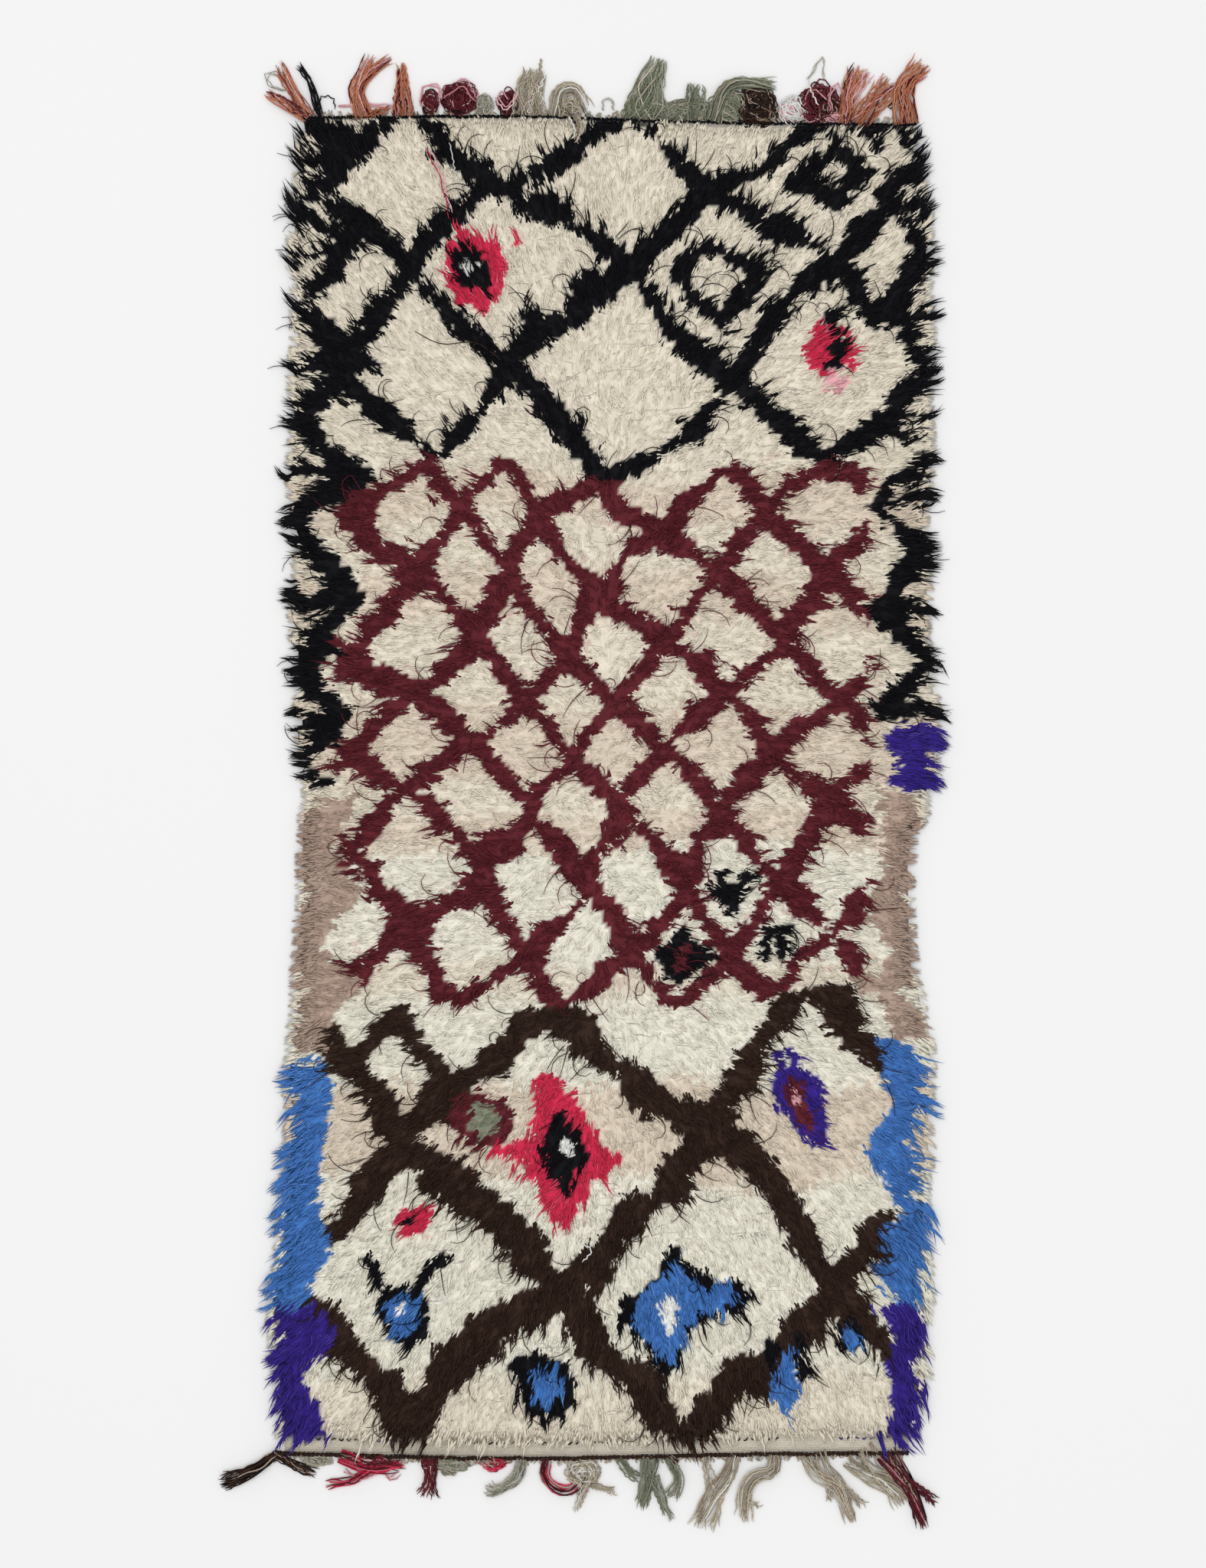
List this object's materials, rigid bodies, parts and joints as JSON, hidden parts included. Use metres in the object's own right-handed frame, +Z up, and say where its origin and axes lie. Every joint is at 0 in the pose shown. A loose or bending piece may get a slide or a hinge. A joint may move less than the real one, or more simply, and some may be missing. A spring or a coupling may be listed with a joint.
{
  "type": "azilal rug",
  "caption": "Long hand-knotted wool pile rug, cream with an irregular lattice, zigzag side bands and uneven tassels at both ends, lying flat.",
  "frame": {"origin": "on the floor, under the middle of the whole rug's box, fringes included", "axes": "+Z up out of the pile, +Y along the rug towards its top end, +X across the rug to the right as seen from above with the top end up"},
  "size_m": [1.2344, 2.5202, 0.0235],
  "materials": {
    "wool_pile": "cream wool pile with black, maroon, dark brown, blue and red motifs, matt and shaggy",
    "cord_top": "near-black twined two-ply wool cord, matt",
    "cord_bottom": "dark brown twined two-ply wool cord, matt",
    "tassel_yarn_top": "loose wool yarn ends in salmon-orange, maroon, sage, beige and dark brown",
    "tassel_yarn_bottom": "loose wool yarn ends in beige, grey-green, crimson and dark brown"
  },
  "bodies": {
    "root": {"rug_body": "wool_pile", "header_cord_top": "cord_top", "header_cord_bottom": "cord_bottom", "fringe_top": "tassel_yarn_top", "fringe_bottom": "tassel_yarn_bottom"}
  },
  "joints": []
}
